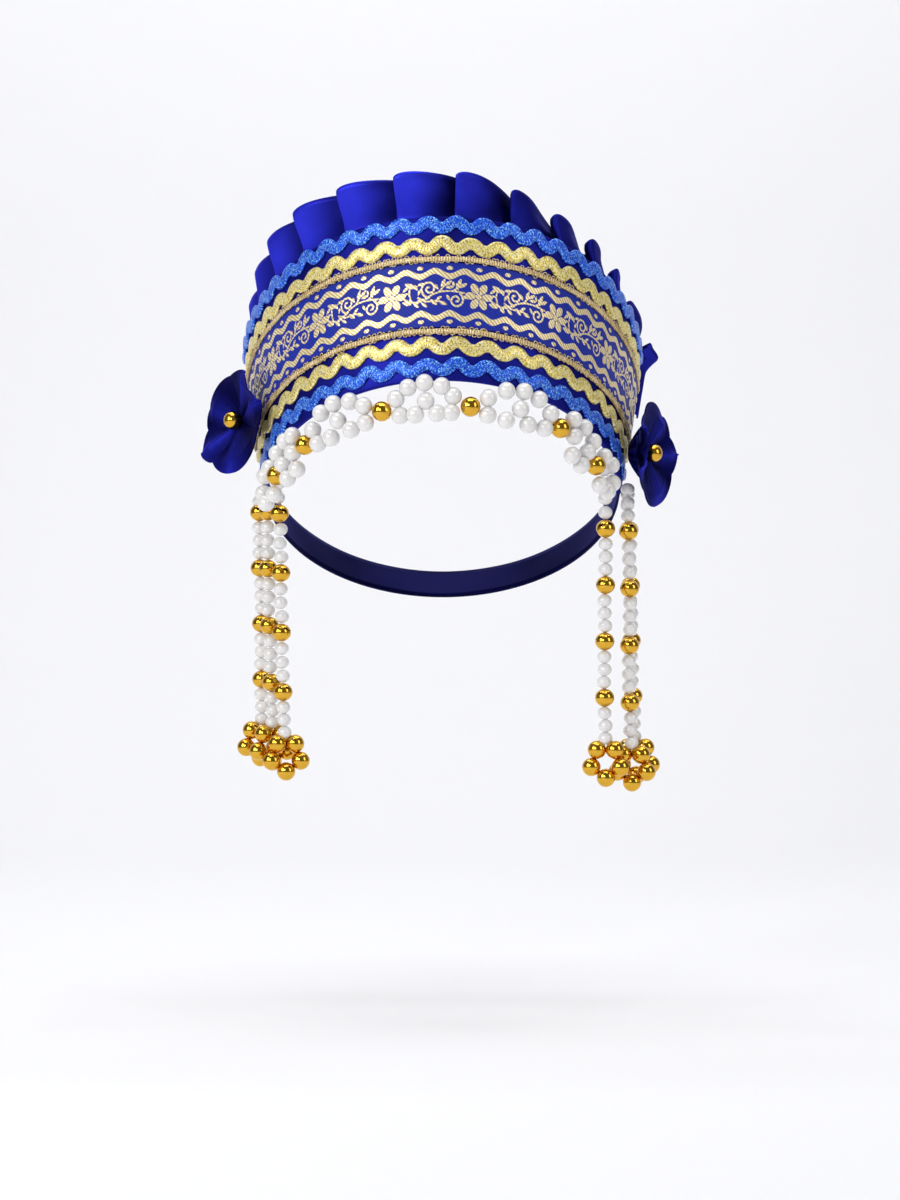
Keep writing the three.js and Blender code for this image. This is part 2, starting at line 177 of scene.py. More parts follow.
def ramp(nodes, stops, ease="LINEAR"):
    node = nodes.new("ShaderNodeValToRGB")
    node.color_ramp.interpolation = ease
    while len(node.color_ramp.elements) < len(stops):
        node.color_ramp.elements.new(0.5)
    for element, (at, colour) in zip(node.color_ramp.elements, stops):
        element.position = at
        element.color = (*colour, 1)
    return node


def mixColour(nodes, links, share, first, second):
    node = nodes.new("ShaderNodeMix")
    node.data_type = "RGBA"
    for socket, source in (("Factor", share), ("A", first), ("B", second)):
        links.new(source, node.inputs[socket])
    return node.outputs["Result"]


def mapRange(nodes, links, value, **ends):
    node = nodes.new("ShaderNodeMapRange")
    for key, number in ends.items():
        node.inputs[key.replace("_", " ")].default_value = number
    links.new(value, node.inputs["Value"])
    return node.outputs["Result"]


def bumpFrom(nodes, links, shader, height, distance, strength):
    bump = nodes.new("ShaderNodeBump")
    bump.inputs["Distance"].default_value = distance * mm
    bump.inputs["Strength"].default_value = strength
    links.new(height, bump.inputs["Height"])
    links.new(bump.outputs["Normal"], shader.inputs["Normal"])


def newGroup(name, takes, gives):  # a shader group with named sockets
    group = bpy.data.node_groups.new(name, "ShaderNodeTree")
    for socket, kind, value in takes:
        made = group.interface.new_socket(socket, in_out="INPUT", socket_type=kind)
        if value is not None:
            made.default_value = value
    for socket, kind in gives:
        group.interface.new_socket(socket, in_out="OUTPUT", socket_type=kind)
    nodes, links = group.nodes, group.links
    return group, nodes, links, nodes.new("NodeGroupInput"), nodes.new("NodeGroupOutput")


def satinWeaveGroup():  # soft clouds of tone over a fine weave; painted light and shade: a value per point mixes the shaded and the lit tone, so raised folds are painted lighter
    takes = [("Vector", "NodeSocketVector", None), ("Painted Light", "NodeSocketFloat", 0.5),
             ("Deep", "NodeSocketColor", None), ("Lit", "NodeSocketColor", None)]
    gives = [("Color", "NodeSocketColor"), ("Height", "NodeSocketFloat")]
    group, nodes, links, taken, given = newGroup("satin_weave", takes, gives)
    cloud = nodes.new("ShaderNodeTexNoise")
    cloud.inputs["Scale"].default_value = 60
    cloud.inputs["Detail"].default_value = 3
    links.new(taken.outputs["Vector"], cloud.inputs["Vector"])
    share = mapRange(
        nodes, links, cloud.outputs["Fac"], From_Min=0.3, From_Max=0.7, To_Min=-0.12, To_Max=0.12)
    total = nodes.new("ShaderNodeMath")
    total.use_clamp = True
    links.new(taken.outputs["Painted Light"], total.inputs[0])
    links.new(share, total.inputs[1])
    tone = mixColour(nodes, links, total.outputs["Value"], taken.outputs["Deep"], taken.outputs["Lit"])
    links.new(tone, given.inputs["Color"])
    weave = nodes.new("ShaderNodeTexNoise")
    weave.inputs["Scale"].default_value = 2600
    links.new(taken.outputs["Vector"], weave.inputs["Vector"])
    links.new(weave.outputs["Fac"], given.inputs["Height"])
    return group


def braidThreadGroup():  # cross ribs and glinting flecks of a metallic braid; the colour follows their height: partly thread tone, partly painted shade in the low threads and painted glints on the high flecks
    takes = [("Vector", "NodeSocketVector", None), ("Rib Scale", "NodeSocketFloat", 0.25),
             ("Fleck Scale", "NodeSocketFloat", 2.4), ("Fleck Share", "NodeSocketFloat", 0.6),
             ("Dark", "NodeSocketColor", None), ("Middle", "NodeSocketColor", None),
             ("Glint", "NodeSocketColor", None)]
    gives = [("Color", "NodeSocketColor"), ("Height", "NodeSocketFloat")]
    group, nodes, links, taken, given = newGroup("braid_threads", takes, gives)
    ribs = nodes.new("ShaderNodeTexWave")
    ribs.inputs["Distortion"].default_value = 2.4
    ribs.inputs["Detail Scale"].default_value = 2.0
    links.new(taken.outputs["Vector"], ribs.inputs["Vector"])
    links.new(taken.outputs["Rib Scale"], ribs.inputs["Scale"])
    flecks = nodes.new("ShaderNodeTexVoronoi")
    links.new(taken.outputs["Vector"], flecks.inputs["Vector"])
    links.new(taken.outputs["Fleck Scale"], flecks.inputs["Scale"])
    split = nodes.new("ShaderNodeSeparateColor")
    links.new(flecks.outputs["Color"], split.inputs["Color"])
    blend = nodes.new("ShaderNodeMix")
    links.new(taken.outputs["Fleck Share"], blend.inputs["Factor"])
    links.new(ribs.outputs["Fac"], blend.inputs["A"])
    links.new(split.outputs["Red"], blend.inputs["B"])
    links.new(blend.outputs["Result"], given.inputs["Height"])
    # painted shade in the low threads and painted glints on the high flecks
    rise = mapRange(nodes, links, blend.outputs["Result"], From_Min=0.12, From_Max=0.45)
    low = mixColour(nodes, links, rise, taken.outputs["Dark"], taken.outputs["Middle"])
    spark = mapRange(nodes, links, blend.outputs["Result"], From_Min=0.66, From_Max=0.84)
    links.new(mixColour(nodes, links, spark, low, taken.outputs["Glint"]), given.inputs["Color"])
    return group


satinWeave = satinWeaveGroup()
braidThreads = braidThreadGroup()


def placeGroup(nodes, group, **values):
    node = nodes.new("ShaderNodeGroup")
    node.node_tree = group
    for key, value in values.items():
        if isinstance(value, tuple):
            value = (*value, 1)
        node.inputs[key.replace("_", " ")].default_value = value
    return node


def satin(name, shaded, lit):
    material, nodes, links, shader = newMaterial(
        name, Metallic=0.7, Roughness=0.46, Specular_IOR_Level=0.5, Specular_Tint=(0.12, 0.14, 1.0, 1),
        Anisotropic=0.4, Sheen_Weight=0.06, Sheen_Roughness=0.3, Sheen_Tint=(0.12, 0.14, 1.0, 1))
    spot = nodes.new("ShaderNodeTexCoord")
    # painted light and shade, read per point from a mesh attribute: 0 gives the shaded tone, 1 the lit tone
    painted_light = nodes.new("ShaderNodeAttribute")
    painted_light.attribute_name = "painted_light"
    weave = placeGroup(nodes, satinWeave, Deep=shaded, Lit=lit)
    links.new(spot.outputs["Object"], weave.inputs["Vector"])
    links.new(painted_light.outputs["Fac"], weave.inputs["Painted Light"])
    links.new(weave.outputs["Color"], shader.inputs["Base Color"])
    bumpFrom(nodes, links, shader, weave.outputs["Height"], distance=0.05, strength=0.25)
    return material


bandRun = 0.314  # length of one band of a wave texture at a scale of 1


def braid(name, dark, middle, glint, metal, rough, ribPitch, fleckShare):
    material, nodes, links, shader = newMaterial(name, Metallic=metal, Roughness=rough)
    spot = nodes.new("ShaderNodeUVMap")
    spot.uv_map = "uv"
    threads = placeGroup(
        nodes, braidThreads, Rib_Scale=bandRun / ribPitch, Fleck_Share=fleckShare, Dark=dark, Middle=middle,
        Glint=glint)
    links.new(spot.outputs["UV"], threads.inputs["Vector"])
    links.new(threads.outputs["Color"], shader.inputs["Base Color"])
    bumpFrom(nodes, links, shader, threads.outputs["Height"], distance=0.35, strength=0.8)
    return material


def jacquard(name):
    material, nodes, links, shader = newMaterial(name, Specular_IOR_Level=0.3)
    mask = nodes.new("ShaderNodeAttribute")
    mask.attribute_name = "gold"
    edge = ramp(nodes, [(0.42, (0, 0, 0)), (0.58, (1, 1, 1))])
    links.new(mask.outputs["Fac"], edge.inputs["Fac"])
    spot = nodes.new("ShaderNodeUVMap")
    spot.uv_map = "uv"
    threads = nodes.new("ShaderNodeTexWave")
    threads.wave_type = "BANDS"
    threads.bands_direction = "DIAGONAL"
    threads.inputs["Scale"].default_value = 0.35
    threads.inputs["Distortion"].default_value = 3.0
    links.new(spot.outputs["UV"], threads.inputs["Vector"])
    goldTone = ramp(nodes, [(0.0, (0.60, 0.40, 0.13)), (0.5, (0.93, 0.76, 0.40)), (1.0, (1.0, 0.94, 0.70))])
    links.new(threads.outputs["Fac"], goldTone.inputs["Fac"])
    ground = ramp(nodes, [(0.0, (0.003, 0.013, 0.26)), (1.0, (0.007, 0.026, 0.38))])
    links.new(threads.outputs["Fac"], ground.inputs["Fac"])
    colour = mixColour(
        nodes, links, edge.outputs["Color"], ground.outputs["Color"], goldTone.outputs["Color"])
    links.new(colour, shader.inputs["Base Color"])
    rough = mapRange(nodes, links, edge.outputs["Color"], To_Min=0.55, To_Max=0.38)
    links.new(rough, shader.inputs["Roughness"])
    shine = nodes.new("ShaderNodeMath")
    shine.operation = "MULTIPLY"
    shine.inputs[1].default_value = 0.45
    links.new(edge.outputs["Color"], shine.inputs[0])
    links.new(shine.outputs["Value"], shader.inputs["Metallic"])
    bumpFrom(nodes, links, shader, threads.outputs["Fac"], distance=0.08, strength=0.6)
    return material


# each satin gets a shaded and a lit tone, and its painted light and shade is mixed between them
royal = satin("royal_satin", (0.002, 0.002, 0.05), (0.030, 0.037, 0.66))
navy = satin("navy_satin", (0.002, 0.002, 0.028), (0.004, 0.004, 0.05))
goldBraid = braid(
    "gold_braid", dark=(0.46, 0.29, 0.03), middle=(0.98, 0.83, 0.23), glint=(1.0, 0.98, 0.78), metal=0.42,
    rough=0.34, ribPitch=1.25, fleckShare=0.8)
blueBraid = braid(
    "blue_braid", dark=(0.002, 0.02, 0.38), middle=(0.008, 0.115, 0.88), glint=(0.26, 0.64, 1.0), metal=0.3,
    rough=0.34, ribPitch=1.1, fleckShare=0.8)
gimpGold = braid(
    "gold_gimp", dark=(0.30, 0.17, 0.05), middle=(0.78, 0.58, 0.27), glint=(1.0, 0.91, 0.66), metal=0.5,
    rough=0.36, ribPitch=1.2, fleckShare=0.5)
ribbonCloth = jacquard("jacquard_cloth")
pearlGloss = newMaterial(
    "pearl_gloss", Base_Color=(0.80, 0.785, 0.77, 1), Roughness=0.2, Specular_IOR_Level=0.7,
    Coat_Weight=0.9, Coat_Roughness=0.08, Sheen_Weight=0.1)[0]
beadGold = newMaterial("bead_gold", Base_Color=(0.74, 0.42, 0.045, 1), Metallic=1.0, Roughness=0.14)[0]
print("materials made")

# Front panel
# the panel's satin is painted at one fixed level of light, between the shaded and the lit tone
panel = {"steps": 220, "rows": 24, "painted_light": 0.28, "bevel": 0.7}
alongs = np.linspace(-band["halfLength"], band["halfLength"], panel["steps"])
ups = np.linspace(band["foot"], band["height"], panel["rows"])
sGrid, uGrid = np.meshgrid(alongs, ups, indexing="ij")
frontPanel = meshPiece(
    "front_panel_cloth", wallPoints(sGrid, uGrid, 0), gridFaces(panel["steps"], panel["rows"]),
    uv=np.stack([sGrid, uGrid], -1), values={"painted_light": np.full(sGrid.shape, panel["painted_light"])})
stiffen(frontPanel, band["wall"], panel["bevel"])
dress(frontPanel, royal, "satin", "front_panel")
print("panel made")

# Pleated ruffle: the bends of one knife pleat along its pitch, with their lift from the foot of the pleat
ruffle = {
    "pleats": 13, "pitch": 21.6, "start": -125.0, "foot": 60.0, "top": 90.6, "thick": 0.8, "rows": 16,
    "footSet": 1.4, "footDepth": 5.2, "topSet": -3.5, "topDepth": 9.5, "mostLift": 1.04, "perBend": 7,
    "lastBends": 4, "fallFrom": 0.5, "clear": 1.0, "fan": 0.13, "fanMost": 7.0, "weaveTall": 32.0,
}
# How the top leans back at the sides and where along the rim each change starts and ends
ruffleLean = {
    "left": 10.0, "leftSpan": (40, 120), "right": 11.0, "rightDrop": 4.0, "rightSpan": (0, 50),
    "uprightSpan": (112, 134),
}
# The free right end stands out past the panel
ruffleEnd = {
    "drop": 6.0, "dropSpan": (116, 140), "flare": 8.0, "flareSpan": (band["halfLength"], 144), "out": 5.0,
    "outSpan": (134, 144),
}
# Painted light on the ruffle: raised folds painted lighter, valleys between pleats painted in shade, pleats
# to the right painted darker
rufflePaintedLight = {"low": 0.04, "curve": 1.9, "turn": 0.68, "turnSpan": (-8, 30)}
pleatBends = [
    {"along": 0.00, "lift": 0.90, "fall": 4.6}, {"along": 0.06, "lift": 1.04, "fall": 1.8},
    {"along": 0.22, "lift": 1.00, "fall": 0.2}, {"along": 0.50, "lift": 0.82, "fall": 0.6},
    {"along": 0.95, "lift": 0.30, "fall": 2.4},
    {"along": 1.31, "lift": 0.02, "fall": 5.0}, {"along": 1.34, "lift": 0.28, "fall": 6.4},
    {"along": 1.06, "lift": 0.60, "fall": 6.8},
]


def splinePath(knots, perSpan):  # a smooth line through the knots
    knots = np.asarray(knots, float)
    before = np.vstack([2 * knots[0] - knots[1], knots[:-2]])
    after = np.vstack([knots[2:], 2 * knots[-1] - knots[-2]])
    a, b = knots[:-1], knots[1:]
    t = np.linspace(0, 1, perSpan, endpoint=False)[None, :, None]
    p0, p1, p2, p3 = (v[:, None, :] for v in (before, a, b, after))
    curve = 0.5 * (2 * p1 + (p2 - p0) * t + (2 * p0 - 5 * p1 + 4 * p2 - p3) * t ** 2
                   + (3 * p1 - p0 - 3 * p2 + p3) * t ** 3)
    return np.vstack([curve.reshape(-1, knots.shape[1]), knots[-1:]])


def smoothStep(v, low, high):
    v = np.clip((v - low) / (high - low), 0, 1)
    return v * v * (3 - 2 * v)


def ruffleGrid():
    knots = [(n + b["along"], b["lift"], b["fall"]) for n in range(ruffle["pleats"]) for b in pleatBends]
    knots = knots[:(ruffle["pleats"] - 1) * len(pleatBends) + ruffle["lastBends"]]
    path = splinePath(knots, ruffle["perBend"])
    lift, fold = path[:, 1], path[:, 2]
    at = ruffle["start"] + path[:, 0] * ruffle["pitch"]
    right = smoothStep(at, *ruffleLean["rightSpan"])
    rightLean = ruffleLean["right"] * right * (1 - smoothStep(at, *ruffleLean["uprightSpan"]))
    back = ruffleLean["left"] * smoothStep(-at, *ruffleLean["leftSpan"]) + rightLean
    fan = np.clip(ruffle["fan"] * at, -ruffle["fanMost"], ruffle["fanMost"])
    endFall = ruffleEnd["drop"] * smoothStep(at, *ruffleEnd["dropSpan"])
    foot = -(band["wall"] + ruffle["footSet"]) - ruffle["footDepth"] * ruffle["mostLift"]
    low = foot + ruffle["footDepth"] * lift + ruffleEnd["flare"] * smoothStep(at, *ruffleEnd["flareSpan"])
    high = ruffle["topSet"] - back + ruffle["topDepth"] * lift
    high = high + ruffleEnd["out"] * smoothStep(at, *ruffleEnd["outSpan"])
    rows = []
    for share in np.linspace(0, 1, ruffle["rows"]):
        level = ruffle["foot"] + (ruffle["top"] - ruffle["foot"]) * share
        spread = smoothStep(level - endFall, band["height"] + ruffle["clear"], ruffle["top"])
        fall = fold * max(0, share - ruffle["fallFrom"]) + ruffleLean["rightDrop"] * spread * right + endFall
        fanned = at + fan * (1 - smoothStep(level, ruffle["foot"], ruffle["top"]))
        rows.append(wallPoints(fanned, level - fall, low + (high - low) * spread))
    return np.stack(rows, axis=1), path


rufflePoints, rufflePath = ruffleGrid()
rowCount, columnCount = rufflePoints.shape[:2]
steps = np.linalg.norm(np.diff(rufflePoints, axis=0), axis=2)
lengths = np.concatenate([[0], np.cumsum(steps.mean(axis=1))])
weaveUps = np.linspace(0, ruffle["weaveTall"], columnCount)
ruffleUv = np.stack(np.meshgrid(lengths / mm, weaveUps, indexing="ij"), -1)
# painted highlight on the raised folds and painted shade in the valleys
raisedShare = np.clip(rufflePath[:, 1:2], 0, 1) ** rufflePaintedLight["curve"]
foldPaintedLight = rufflePaintedLight["low"] + (1 - rufflePaintedLight["low"]) * raisedShare
foldAt = ruffle["start"] + rufflePath[:, :1] * ruffle["pitch"]
paintedShadeRight = smoothStep(foldAt, *rufflePaintedLight["turnSpan"])  # painted shade on the pleats to the right, turned from the light
foldPaintedLight = foldPaintedLight * (1 - rufflePaintedLight["turn"] * paintedShadeRight)
rufflePaintedLightGrid = np.broadcast_to(foldPaintedLight, (rowCount, columnCount))
ruffleCloth = meshPiece(
    "ruffle_cloth", rufflePoints, gridFaces(rowCount, columnCount), uv=ruffleUv, values={"painted_light": rufflePaintedLightGrid})
stiffen(ruffleCloth, ruffle["thick"])
dress(ruffleCloth, royal, "satin", "pleated_ruffle")
print("ruffle made, cut length", round(float(lengths[-1]), 3))

# Jacquard ribbon: the woven scroll is charted by a few strokes, leaves and petals of one repeat
ribbon = {
    "low": 24.4, "high": 51.9, "set": 0.3, "thick": 0.9, "cell": 0.41, "relief": 0.16, "soft": 0.3,
    "repeat": 34.0, "wavesPerRepeat": 3, "flowerAt": -19.7, "measured": 38.0,
}
ribbonStretch = stretchAt(ribbon["measured"])
repeatMm = ribbon["repeat"] * ribbonStretch
waveMm = repeatMm / ribbon["wavesPerRepeat"]
# The figure's own sizes in millimetres, from the ribbon's middle line
chart = {
    "petals": 6, "petalAt": 3.7, "petalLong": 2.35, "petalWide": 1.62, "petalGap": 0.2, "heart": 1.25,
    "waveAt": 9.0, "waveSwing": 1.15, "waveHalf": 1.3, "dotAt": 11.4, "dotHalf": 0.85, "dotLong": 1.6,
    "stemHalf": 0.36, "curlHalf": 0.42, "curlClose": 0.82, "leafLong": 1.08, "leafWide": 1.2,
    "leafPoint": 0.6, "stemSteps": 10, "curlSteps": 60,
}
leaves = [
    {"u": 8.2, "v": 4.2, "long": 2.4, "wide": 0.95, "turn": -25},
    {"u": 6.2, "v": 3.0, "long": 1.6, "wide": 0.6, "turn": 40},
    {"u": 10.6, "v": 3.4, "long": 1.4, "wide": 0.6, "turn": -60},
    {"u": 6.6, "v": -3.0, "long": 2.0, "wide": 0.8, "turn": -15},
    {"u": 10.6, "v": -3.9, "long": 1.7, "wide": 0.75, "turn": -50},
    {"u": 12.4, "v": -2.2, "long": 1.6, "wide": 0.6, "turn": 20},
    {"u": 18.4, "v": -3.2, "long": 1.7, "wide": 0.75, "turn": -40},
    {"u": 20.6, "v": -1.4, "long": 1.3, "wide": 0.55, "turn": 30},
    {"u": 22.4, "v": -3.6, "long": 1.7, "wide": 0.7, "turn": -20},
    {"u": 22.4, "v": 5.0, "long": 1.8, "wide": 0.65, "turn": 65},
    {"u": 24.6, "v": 4.9, "long": 1.8, "wide": 0.65, "turn": 35},
    {"u": 25.2, "v": 3.2, "long": 1.6, "wide": 0.6, "turn": 5},
    {"u": 29.4, "v": 5.2, "long": 1.7, "wide": 0.7, "turn": 70},
    {"u": 31.0, "v": 4.2, "long": 1.8, "wide": 0.7, "turn": 30},
    {"u": 28.6, "v": 3.6, "long": 1.4, "wide": 0.55, "turn": 110},
    {"u": 14.2, "v": -4.2, "long": 1.5, "wide": 0.6, "turn": -35},
    {"u": 16.2, "v": -1.0, "long": 1.2, "wide": 0.5, "turn": 50},
    {"u": 12.0, "v": 1.2, "long": 1.2, "wide": 0.5, "turn": 75},
    {"u": 19.6, "v": 3.4, "long": 1.3, "wide": 0.55, "turn": 120},
    {"u": 26.8, "v": 4.6, "long": 1.2, "wide": 0.5, "turn": 95},
    {"u": 24.6, "v": -1.2, "long": 1.3, "wide": 0.5, "turn": -60},
    {"u": 31.4, "v": -0.8, "long": 1.3, "wide": 0.55, "turn": -30},
    {"u": 6.0, "v": 0.8, "long": 1.2, "wide": 0.5, "turn": 15},
    {"u": 12.6, "v": 4.6, "long": 1.3, "wide": 0.55, "turn": 25},
]
stems = [
    [(4.5, -0.6), (8.0, -2.4), (11.5, -3.0), (14.5, -1.8), (18.0, 0.2), (22.0, 1.4), (26.5, 1.6),
     (31.5, 1.0)],
    [(8.5, -2.2), (7.8, 0.5), (8.0, 3.0)],
    [(20.5, 1.0), (22.2, 3.0), (23.4, 4.4)],
    [(26.5, 1.6), (28.6, 3.0), (29.6, 4.6)],
    [(11.5, -1.0), (15.0, -2.8), (19.5, -2.6), (23.0, -3.4)],
]
spirals = [
    {"u": 16.4, "v": 2.6, "radius": 3.6, "start": 250, "turns": -1.45},
    {"u": 28.0, "v": -2.2, "radius": 3.3, "start": 60, "turns": -1.4},
]
strokes = [(splinePath(s, chart["stemSteps"]), chart["stemHalf"]) for s in stems]
for curl in spirals:
    t = np.linspace(0, 1, chart["curlSteps"])
    turn = np.radians(curl["start"] + 360 * curl["turns"] * t)
    radius = curl["radius"] * (1 - chart["curlClose"] * t)
    line = np.stack([curl["u"] + radius * np.cos(turn), curl["v"] + radius * np.sin(turn)], -1)
    strokes.append((line, chart["curlHalf"]))


def leafShape(u, v, leaf):  # how far inside a pointed leaf each point lies
    c, s = math.cos(math.radians(leaf["turn"])), math.sin(math.radians(leaf["turn"]))
    long, wide = chart["leafLong"] * leaf["long"], chart["leafWide"] * leaf["wide"]
    x = ((u - leaf["u"]) * c + (v - leaf["v"]) * s) / long
    y = ((v - leaf["v"]) * c - (u - leaf["u"]) * s) / wide
    return (1 - np.sqrt(x * x + (y * (1 + chart["leafPoint"] * np.abs(x))) ** 2)) * wide


def strokeShape(u, v, line, half):  # how far inside a line of some width each point lies
    best = np.full(u.shape, np.inf)
    for (x0, y0), (x1, y1) in zip(line[:-1], line[1:]):
        dx, dy = x1 - x0, y1 - y0
        t = np.clip(((u - x0) * dx + (v - y0) * dy) / (dx * dx + dy * dy + 1e-9), 0, 1)
        best = np.minimum(best, np.hypot(u - x0 - t * dx, v - y0 - t * dy))
    return half - best


def goldInset(u, v):  # how far inside the gold figure a point lies, in millimetres
    w = (u + repeatMm / 2) % repeatMm - repeatMm / 2
    turn, far = np.arctan2(v, w), np.hypot(w, v)
    halfPetal = math.pi / chart["petals"]
    fold = (turn + halfPetal) % (2 * halfPetal) - halfPetal
    ahead = (far * np.cos(fold) - chart["petalAt"]) / chart["petalLong"]
    petals = chart["petalWide"] * (1 - np.hypot(ahead, far * np.sin(fold) / chart["petalWide"]))
    petals = np.minimum(petals, far * np.sin(halfPetal - np.abs(fold)) - chart["petalGap"])
    inset = np.maximum(petals, chart["heart"] - far)
    p = u % repeatMm
    for leaf in leaves:
        inset = np.maximum(inset, leafShape(p, v, leaf))
    for line, half in strokes:
        inset = np.maximum(inset, strokeShape(p, v, line, half))
    mirror = np.abs(v)
    swing = chart["waveAt"] - chart["waveSwing"] * np.cos(2 * math.pi * u / waveMm)
    inset = np.maximum(inset, chart["waveHalf"] - np.abs(mirror - swing))
    d = (u + waveMm / 2) % waveMm - waveMm / 2
    return np.maximum(inset, chart["dotHalf"] - np.hypot(d / chart["dotLong"], mirror - chart["dotAt"]))


ribbonSteps = int(2 * band["trimHalf"] * ribbonStretch / ribbon["cell"])
ribbonRows = int((ribbon["high"] - ribbon["low"]) / ribbon["cell"])
alongs = np.linspace(-band["trimHalf"], band["trimHalf"], ribbonSteps)
ups = np.linspace(ribbon["low"], ribbon["high"], ribbonRows)
sGrid, uGrid = np.meshgrid(alongs, ups, indexing="ij")
ribbonMiddle = (ribbon["low"] + ribbon["high"]) / 2
figure = goldInset((sGrid - ribbon["flowerAt"]) * ribbonStretch, uGrid - ribbonMiddle)
raised = np.clip(figure / ribbon["soft"] + 0.5, 0, 1)
ribbonPiece = meshPiece(
    "ribbon_cloth", wallPoints(sGrid, uGrid, ribbon["set"] + ribbon["thick"] + ribbon["relief"] * raised),
    gridFaces(ribbonSteps, ribbonRows), uv=np.stack([sGrid * ribbonStretch, uGrid], -1),
    values={"gold": raised})
ribbonPiece.modifiers.new("thick", "SOLIDIFY").thickness = ribbon["thick"] * mm
dress(ribbonPiece, ribbonCloth, "jacquard", "jacquard_ribbon")
print("ribbon made", ribbonSteps, ribbonRows)

# Rick-rack braids
rickrack = {
    "width": 5.2, "swing": 1.55, "thick": 1.25, "set": 0.25, "perWave": 22, "wobble": 0.25, "blunt": 0.07,
}
braidSection = [(-1.0, 0.0), (-1.0, 0.45), (-0.86, 0.78), (-0.6, 0.93), (-0.3, 1.0), (0.0, 1.0), (0.3, 1.0),
                (0.6, 0.93), (0.86, 0.78), (1.0, 0.45), (1.0, 0.0)]
braids = [
    {"name": "upper_blue_rickrack", "up": 68.3, "waves": 25, "material": blueBraid, "slot": "blue_braid"},
    {"name": "upper_gold_rickrack", "up": 59.4, "waves": 24, "material": goldBraid, "slot": "gold_braid"},
    {"name": "lower_gold_rickrack", "up": 16.6, "waves": 21, "material": goldBraid, "slot": "gold_braid"},
    {"name": "lower_blue_rickrack", "up": 7.7, "waves": 21, "material": blueBraid, "slot": "blue_braid"},
]


def sweptBand(name, line, section, wide, thick, lift):  # a closed section carried along a line on the wall
    across = np.array([s[0] for s in section]) * wide / 2
    height = np.array([s[1] for s in section]) * thick
    stretch = stretchAt(line[:, 1])
    run = np.gradient(line, axis=0)
    run[:, 0] *= stretch
    run = unit(run)
    s = line[:, :1] - run[:, 1:] * across / stretch[:, None]
    u = line[:, 1:] + run[:, :1] * across
    h = np.broadcast_to(height, s.shape) + lift[:, None]
    strides = np.hypot(np.diff(line[:, 0]) * stretch[1:], np.diff(line[:, 1]))
    gone = np.concatenate([[0], np.cumsum(strides)])
    uv = np.stack([np.broadcast_to(gone[:, None], s.shape), np.broadcast_to(across, s.shape)], -1)
    piece = meshPiece(name, wallPoints(s, u, h), gridFaces(len(line), len(section), ring=True), uv=uv)
    capped(piece)
    return piece


for row in braids:
    t = np.linspace(0, 1, row["waves"] * rickrack["perWave"] + 1)
    wobbles = dice.uniform(-rickrack["wobble"], rickrack["wobble"], row["waves"] + 1)
    wobble = np.interp(t, np.linspace(0, 1, row["waves"] + 1), wobbles)
    phase = 2 * math.pi * row["waves"] * t + math.pi / 2
    wave = np.sin(phase) + rickrack["blunt"] * np.sin(3 * phase)
    up = row["up"] + (rickrack["swing"] + wobble) * wave + wobble
    line = np.stack([band["trimHalf"] * (2 * t - 1), up], -1)
    piece = sweptBand(
        row["name"] + "_braid", line, braidSection, rickrack["width"], rickrack["thick"],
        np.full(len(t), rickrack["set"]))
    dress(piece, row["material"], row["slot"], row["name"])
print("braids made")

# Gimp cords with their small loops of thread
gimps = [{"name": "upper_gimp", "up": 53.5}, {"name": "lower_gimp", "up": 22.8}]
gimp = {
    "wide": 2.3, "thick": 1.7, "set": 0.25, "steps": 900, "twists": 260, "twist": 0.12, "wander": 0.12,
    "wanderRate": 61, "sides": 12,
}
loop = {
    "pitch": 2.3, "radius": 0.75, "wire": 0.2, "sides": 5, "steps": 9, "overrun": 0.3, "missing": 0.22,
    "place": (0.2, 0.8), "size": (0.7, 1.25), "lean": 0.5, "root": 0.2, "tall": 1.15, "level": 1.55,
    "lift": (-0.1, 0.35),
}
cordTurns = np.linspace(0, 2 * math.pi, gimp["sides"], endpoint=False)
cordSection = [(math.cos(a), 0.5 + 0.5 * math.sin(a)) for a in cordTurns]


def gimpLoops(name, up):
    count = int(2 * band["trimHalf"] * stretchAt(up) / loop["pitch"])
    turns = np.linspace(-loop["overrun"], math.pi + loop["overrun"], loop["steps"])
    ring = np.linspace(0, 2 * math.pi, loop["sides"], endpoint=False)
    wireOut, wireUp = loop["wire"] * np.cos(ring), loop["wire"] * np.sin(ring)
    c, s = np.cos(turns)[:, None], np.sin(turns)[:, None]
    points, faces = [], []
    for n in range(count):
        for side in (-1, 1):
            if dice.random() < loop["missing"]:
                continue
            at = -band["trimHalf"] + (n + dice.uniform(*loop["place"])) * loop["pitch"] / stretchAt(up)
            size = loop["radius"] * dice.uniform(*loop["size"])
            lean = dice.uniform(-loop["lean"], loop["lean"])
            along = at + size * (c + lean * s) + wireOut * c
            reach = gimp["wide"] / 2 - loop["root"] + size * loop["tall"] * s
            level = loop["level"] + dice.uniform(*loop["lift"]) * s + wireUp
            faces.append(gridFaces(len(turns), len(ring), ring=True) + len(points) * len(turns) * len(ring))
            points.append(wallPoints(along, up + side * (reach + wireOut * s), level).reshape(-1, 3))
    uv = np.concatenate(points)[:, [0, 2]] / mm
    return meshPiece(name, np.concatenate(points), np.concatenate(faces), uv=uv)


for row in gimps:
    name, up = row["name"], row["up"]
    t = np.linspace(0, 1, gimp["steps"])
    lift = gimp["set"] + gimp["twist"] * np.sin(2 * math.pi * t * gimp["twists"])
    wander = gimp["wander"] * np.sin(t * gimp["wanderRate"])
    line = np.stack([band["trimHalf"] * (2 * t - 1), up + wander], -1)
    cordPiece = sweptBand(name + "_cord", line, cordSection, gimp["wide"], gimp["thick"], lift)
    dress(cordPiece, gimpGold, "gold_gimp", name)
    dress(gimpLoops(name + "_loops", up), gimpGold, "gold_gimp")
print("gimps made")

